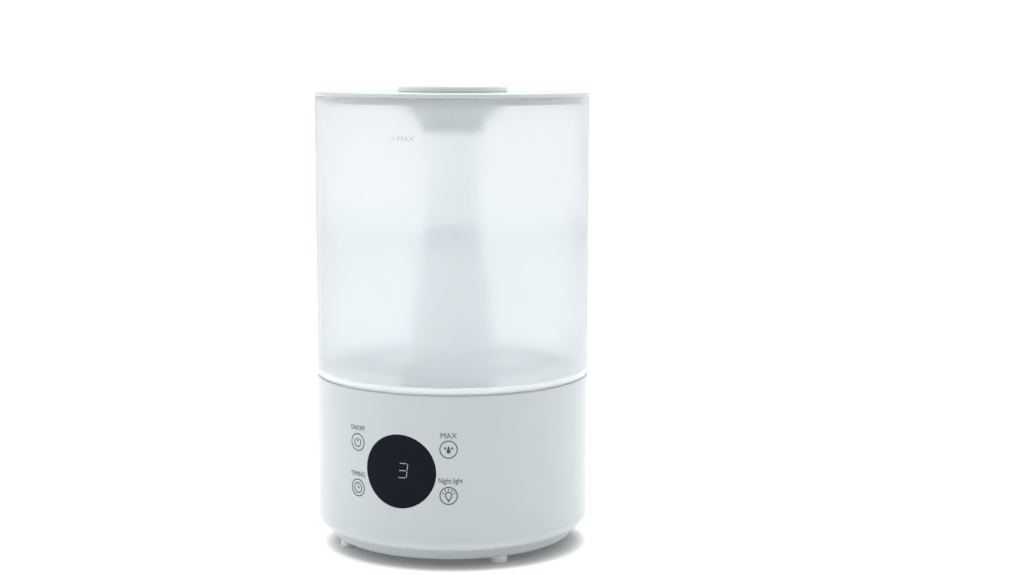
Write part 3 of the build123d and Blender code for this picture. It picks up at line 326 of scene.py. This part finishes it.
def print_word(name, word, size, angle, height, body, finish, slot_name, narrow):
    """A short generic word wrapped on the round wall, centred on its place."""
    curve = bpy.data.curves.new(name, "FONT")
    curve.body = word
    curve.size = size
    curve.align_x = "CENTER"
    curve.align_y = "CENTER"
    curve.extrude = ink_thick / 2
    holder = bpy.data.objects.new(name + "_flat", curve)
    bpy.context.scene.collection.objects.link(holder)
    flat = evaluated_mesh(holder)
    bpy.data.objects.remove(holder)
    middle = ink_lift + ink_thick / 2
    points = [on_wall(v.co.x * narrow, v.co.y, angle, height, middle + v.co.z) for v in flat.vertices]
    faces = [tuple(p.vertices) for p in flat.polygons]
    bpy.data.meshes.remove(flat)
    return piece(name, points, faces, body, finish)


def arc(cx, cz, radius, start, end, steps=40):
    """Points along an arc, angles in degrees anticlockwise from the right."""
    turns = [math.radians(start + (end - start) * i / steps) for i in range(steps + 1)]
    return [(cx + radius * math.cos(t), cz + radius * math.sin(t)) for t in turns]


def circle(cx, cz, radius, steps=48):
    return arc(cx, cz, radius, 0, 360 - 360 / steps, steps - 1)


def drop(cx, cz, size, tall=2.2):
    """Outline of a water drop, point up."""
    return arc(cx, cz, size, 150, 390, 20) + [(cx, cz + tall * size)]


def in_metres(line):
    return [(x * MM, z * MM) for x, z in line]


# ---------------------------------------------------------------- touch keys
ring_radius = 4.95 * MM
stroke = 0.62 * MM
key_turn = math.radians(20.1)
key_middle = display_z + 0.5 * MM
key_rise = 13.5 * MM

# The icons are drawn in millimetres about the middle of their ring; True closes a line.
power_icon = [
    (arc(0, -0.1, 2.45, 120, 420), False),
    ([(0, 0.2), (0, 1.1), (0, 2.5)], False),
]
timer_icon = [
    (circle(0, 0, 2.9), True),
    ([(0, 1.7), (0, 0.9), (0, 0)], False),
    ([(0, 0), (0.7, 0), (1.4, 0)], False),
]
bulb_z = 0.3
light_icon = []
for way in (20, 55, 90, 125, 160):
    ray_in, ray_out = [arc(0, bulb_z, ray_reach, way, way, 1)[0] for ray_reach in (2.75, 3.85)]
    ray_middle = ((ray_in[0] + ray_out[0]) / 2, (ray_in[1] + ray_out[1]) / 2)
    light_icon.append(([ray_in, ray_middle, ray_out], False))
light_icon += [
    (arc(0, bulb_z, 1.8, -40, 220), False),
    ([(-1.35, -0.85), (-0.85, -2.2)], False),
    ([(1.35, -0.85), (0.85, -2.2)], False),
    ([(-0.9, -2.4), (0, -2.4), (0.9, -2.4)], False),
    ([(-0.5, -3.2), (0, -3.2), (0.5, -3.2)], False),
]
mist_icon = [drop(0, -1.1, 1.25, 2.7), drop(-2.0, 0.6, 0.6), drop(2.0, 0.6, 0.6)]

# Each key's side and row, its icon and word, the word's size, width factor, shift and rise in mm.
keys = {
    "power": (-1, 1, power_icon, "ON/OFF", 4.1, 0.76, 0.0, 8.3),
    "timer": (-1, -1, timer_icon, "TIMING", 4.1, 0.84, 0.0, 8.1),
    "mist": (1, 1, mist_icon, "MAX", 4.6, 0.98, 0.0, 7.9),
    "light": (1, -1, light_icon, "Night light", 4.5, 0.74, 1.1, 8.7),
}
key_look = ("base", key_ink, "digit_body")
for key, (side, row, icon, word, size, narrow, shift, rise) in keys.items():
    angle = side * key_turn
    height = key_middle + row * key_rise
    print_lines(f"key_ring_{key}", [(circle(0, 0, ring_radius), True)], stroke, angle, height, *key_look)
    if key == "mist":
        print_shape(f"key_icon_{key}", [in_metres(outline) for outline in icon], angle, height, *key_look)
    else:
        lines = [(in_metres(line), closed) for line, closed in icon]
        print_lines(f"key_icon_{key}", lines, stroke, angle, height, *key_look)
    word_angle = angle + shift * MM / body_radius
    print_word(f"key_word_{key}", word, size * MM, word_angle, height + rise * MM, *key_look, narrow)

# ---------------------------------------------------------------- the lit digit
glow, glow_tree, glow_shader = material("digit_glow")
tint(glow_tree, glow_shader, noise(glow_tree, 1500), (0.32, 0.29, 0.30), (0.37, 0.33, 0.34))
glow_shader.inputs["Roughness"].default_value = 0.5
glow_shader.inputs["Emission Color"].default_value = (0.95, 0.84, 0.86, 1)
glow_shader.inputs["Emission Strength"].default_value = 0.08

digit_width = 5.0 * MM
digit_height = 8.4 * MM
digit_stroke = 0.44 * MM
digit_turn = 2.2 * MM / body_radius
digit_z = display_z + 0.7 * MM
segment_gap = 0.3 * MM
lean = 0.12


def slant(x, z):
    return (x + lean * z, z)


digit_lines = []
for level in (-0.5, 0, 0.5):
    left_end = -digit_width / 2 + segment_gap / 2
    bar = [slant(left_end + i * digit_width / 6, level * digit_height) for i in range(6)]
    digit_lines.append((bar, False))
for low, high in ((-0.5, 0), (0, 0.5)):
    foot, head = low * digit_height + segment_gap, high * digit_height - segment_gap
    post = [slant(digit_width / 2, foot + (head - foot) * i / 4) for i in range(5)]
    digit_lines.append((post, False))
digit_look = ("base", glow, "led_resin")
print_lines("lit_digit", digit_lines, digit_stroke, digit_turn, digit_z, *digit_look, lift=0.03 * MM)

# ---------------------------------------------------------------- fill mark on the tank
mark_z = 247.8 * MM
mark_turn = math.radians(1.4)
mark_stroke = 0.45 * MM
mark_size = 4.1 * MM
mark_wide = 1.15
mark_look = ("tank", mark_ink, "frosted_tank")
mark_dash = [(in_metres([(-6.4, 0), (-5.1, 0), (-3.8, 0)]), False)]
print_lines("fill_dash", mark_dash, mark_stroke, mark_turn, mark_z, *mark_look)
word_turn = mark_turn + 2.6 * MM / body_radius
print_word("fill_word", "MAX", mark_size, word_turn, mark_z, *mark_look, mark_wide)

# ---------------------------------------------------------------- water in the tank
wall_gap = 0.2 * MM
water_low = cage_low.z + 0.1 * MM
water_level = 194.3 * MM
tank_inner = floor_high.x - wall_gap
shoulder_z = cage_low.z + 80.1 * MM
foot_radius = 25.4 * MM
shoulder_radius = 16.8 * MM
flare = foot_radius - shoulder_radius
bend = (flare**2 + (shoulder_z - cage_low.z) ** 2) / (2 * flare)
levels = 24
turns = 128


def chimney_radius(z):
    """The chimney's outside, a long arc from its foot up to its shoulder."""
    if z > shoulder_z:
        return shoulder_radius
    return shoulder_radius + bend - math.sqrt(bend**2 - (shoulder_z - z) ** 2)


profile = []
for i in range(levels + 1):
    z = water_low + (water_level - water_low) * i / levels
    profile.append((chimney_radius(z) + wall_gap, z))
profile += [(tank_inner, water_level), (tank_inner, water_low)]
water_points, water_faces = [], []
for i in range(turns):
    t = 2 * math.pi * i / turns
    for r, z in profile:
        water_points.append((r * math.cos(t), r * math.sin(t), z))
for i in range(turns):
    here, there = i * len(profile), ((i + 1) % turns) * len(profile)
    for k in range(len(profile)):
        n = (k + 1) % len(profile)
        water_faces.append((here + k, there + k, there + n, here + n))
water_fill = piece("water_fill", water_points, water_faces, "tank", water, smooth=True)

# The valve's cage stands in its own pocket, so the valve closes clear of the water.
pocket_gap = 0.4 * MM
pocket_depth = 40 * MM
pocket_radius = (cage_high.x - cage_low.x) / 2 + pocket_gap
pocket_middle = (cage_low + cage_high) / 2
pocket_middle.z = cage_high.z + pocket_gap - pocket_depth / 2
cutter = bmesh.new()
bmesh.ops.create_cone(
    cutter, cap_ends=True, segments=64, radius1=pocket_radius, radius2=pocket_radius, depth=pocket_depth
)
bmesh.ops.translate(cutter, verts=cutter.verts, vec=pocket_middle)
pocket_mesh = bpy.data.meshes.new("valve_pocket")
cutter.to_mesh(pocket_mesh)
cutter.free()
pocket = bpy.data.objects.new("valve_pocket", pocket_mesh)
bpy.context.scene.collection.objects.link(pocket)
pocket_cut = water_fill.modifiers.new("valve_pocket", "BOOLEAN")
pocket_cut.object = pocket
pocket_cut.operation = "DIFFERENCE"
pocket_cut.solver = "EXACT"
cut_mesh = evaluated_mesh(water_fill)
water_fill.modifiers.clear()
whole_mesh = water_fill.data
water_fill.data = cut_mesh
bpy.data.meshes.remove(whole_mesh)
bpy.data.objects.remove(pocket)

# ---------------------------------------------------------------- floor
view_turn = math.radians(21.8)
floor_reach = 40.0
shadow_middle = (8.7 * MM, -13.7 * MM, 0)
shadow_squash = (1, 0.84, 1)
shadow_edge = {"start": 70 * MM, "end": 88 * MM, "kind": "SMOOTHSTEP"}

floor_mesh = bpy.data.meshes.new("floor")
corners = [(x * floor_reach, y * floor_reach, 0) for x, y in ((-1, -1), (1, -1), (1, 1), (-1, 1))]
floor_mesh.from_pydata(corners, [], [(0, 1, 2, 3)])
floor = bpy.data.objects.new("floor", floor_mesh)
bpy.context.scene.collection.objects.link(floor)

# White paper that glows a little, with a painted shadow: less glow and a darker colour in a soft ellipse
# under the body.
paper, paper_tree, paper_shader = material("white_paper")
tint(paper_tree, paper_shader, noise(paper_tree, 4), (0.90, 0.90, 0.905), (0.915, 0.915, 0.92))
paper_shader.inputs["Roughness"].default_value = 0.7
paper_shader.inputs["Emission Color"].default_value = (1, 1, 1, 1)
paper_coords = paper_tree.nodes.new("ShaderNodeTexCoord")
ellipse = paper_tree.nodes.new("ShaderNodeMapping")
ellipse.vector_type = "TEXTURE"
ellipse.inputs["Location"].default_value = shadow_middle
ellipse.inputs["Rotation"].default_value = (0, 0, view_turn)
ellipse.inputs["Scale"].default_value = shadow_squash
away = paper_tree.nodes.new("ShaderNodeVectorMath")
away.operation = "LENGTH"
paper_tree.links.new(paper_coords.outputs["Object"], ellipse.inputs["Vector"])
paper_tree.links.new(ellipse.outputs["Vector"], away.inputs[0])
paper_glow = spread(paper_tree, away.outputs["Value"], 0.08, 0.5, **shadow_edge)
paper_tree.links.new(paper_glow, paper_shader.inputs["Emission Strength"])
# Painted shadow: the paper's colour darkens inside the same ellipse.
painted_shadow_dim = spread(paper_tree, away.outputs["Value"], 0.72, 1.0, **shadow_edge)
painted_shadow_colour = paper_tree.nodes.new("ShaderNodeVectorMath")
painted_shadow_colour.operation = "SCALE"
paper_tint = paper_shader.inputs["Base Color"].links[0].from_socket
paper_tree.links.new(paper_tint, painted_shadow_colour.inputs[0])
paper_tree.links.new(painted_shadow_dim, painted_shadow_colour.inputs["Scale"])
paper_tree.links.new(painted_shadow_colour.outputs["Vector"], paper_shader.inputs["Base Color"])
floor_mesh.materials.append(paper)

# ---------------------------------------------------------------- sky and light
dim_turn = view_turn + math.radians(12)
dim_side = Vector((math.sin(dim_turn), -math.cos(dim_turn), 0))

# A white sky that fades to dark on the camera's side, which shades the body's front.
world = bpy.data.worlds.new("studio")
bpy.context.scene.world = world
world.use_nodes = True
sky = world.node_tree
sky.nodes.clear()
sky_coords = sky.nodes.new("ShaderNodeTexCoord")
sky_dot = sky.nodes.new("ShaderNodeVectorMath")
sky_dot.operation = "DOT_PRODUCT"
sky_dot.inputs[1].default_value = dim_side
sky_light = sky.nodes.new("ShaderNodeBackground")
sky_light.inputs["Color"].default_value = (0.985, 0.995, 1.0, 1)
sky_out = sky.nodes.new("ShaderNodeOutputWorld")
sky.links.new(sky_coords.outputs["Generated"], sky_dot.inputs[0])
sky_strength = spread(sky, sky_dot.outputs["Value"], 1.1, 0.04, 0.15, 0.95, "SMOOTHSTEP")
sky.links.new(sky_strength, sky_light.inputs["Strength"])
sky.links.new(sky_light.outputs["Background"], sky_out.inputs["Surface"])

top_lamp = bpy.data.lights.new("top_light", "AREA")
top_lamp.shape = "RECTANGLE"
top_lamp.size = 1.3
top_lamp.size_y = 1.3
top_lamp.energy = 14.0
top_light = bpy.data.objects.new("top_light", top_lamp)
top_light.location = (0.05, 0.1, 1.5)
top_light.rotation_mode = "QUATERNION"
top_light.rotation_quaternion = (-Vector(top_light.location)).to_track_quat("-Z", "Y")
bpy.context.scene.collection.objects.link(top_light)

# ---------------------------------------------------------------- camera
distance = 1.061
eye_height = 0.2932
pitch, roll, yaw = 0.1304, 0.0036, -0.0332

camera_data = bpy.data.cameras.new("camera")
camera = bpy.data.objects.new("camera", camera_data)
bpy.context.scene.collection.objects.link(camera)
camera_data.sensor_width = 36
camera_data.lens = 61.84
toward_camera = Vector((math.sin(view_turn), -math.cos(view_turn), 0))
ahead = Vector((-math.sin(yaw), math.cos(yaw), 0))
across = Vector((math.cos(yaw), math.sin(yaw), 0))
forward = math.cos(pitch) * ahead - math.sin(pitch) * Vector((0, 0, 1))
upright = math.sin(pitch) * ahead + math.cos(pitch) * Vector((0, 0, 1))
right = math.cos(roll) * across + math.sin(roll) * upright
upward = math.cos(roll) * upright - math.sin(roll) * across
turn = Matrix.Rotation(view_turn, 3, "Z")
axes = turn @ Matrix((right, upward, -forward)).transposed()
camera.rotation_mode = "QUATERNION"
camera.rotation_quaternion = axes.to_quaternion()
camera.location = distance * toward_camera + Vector((0, 0, eye_height))
bpy.context.scene.camera = camera
bpy.context.scene.view_settings.view_transform = "Standard"
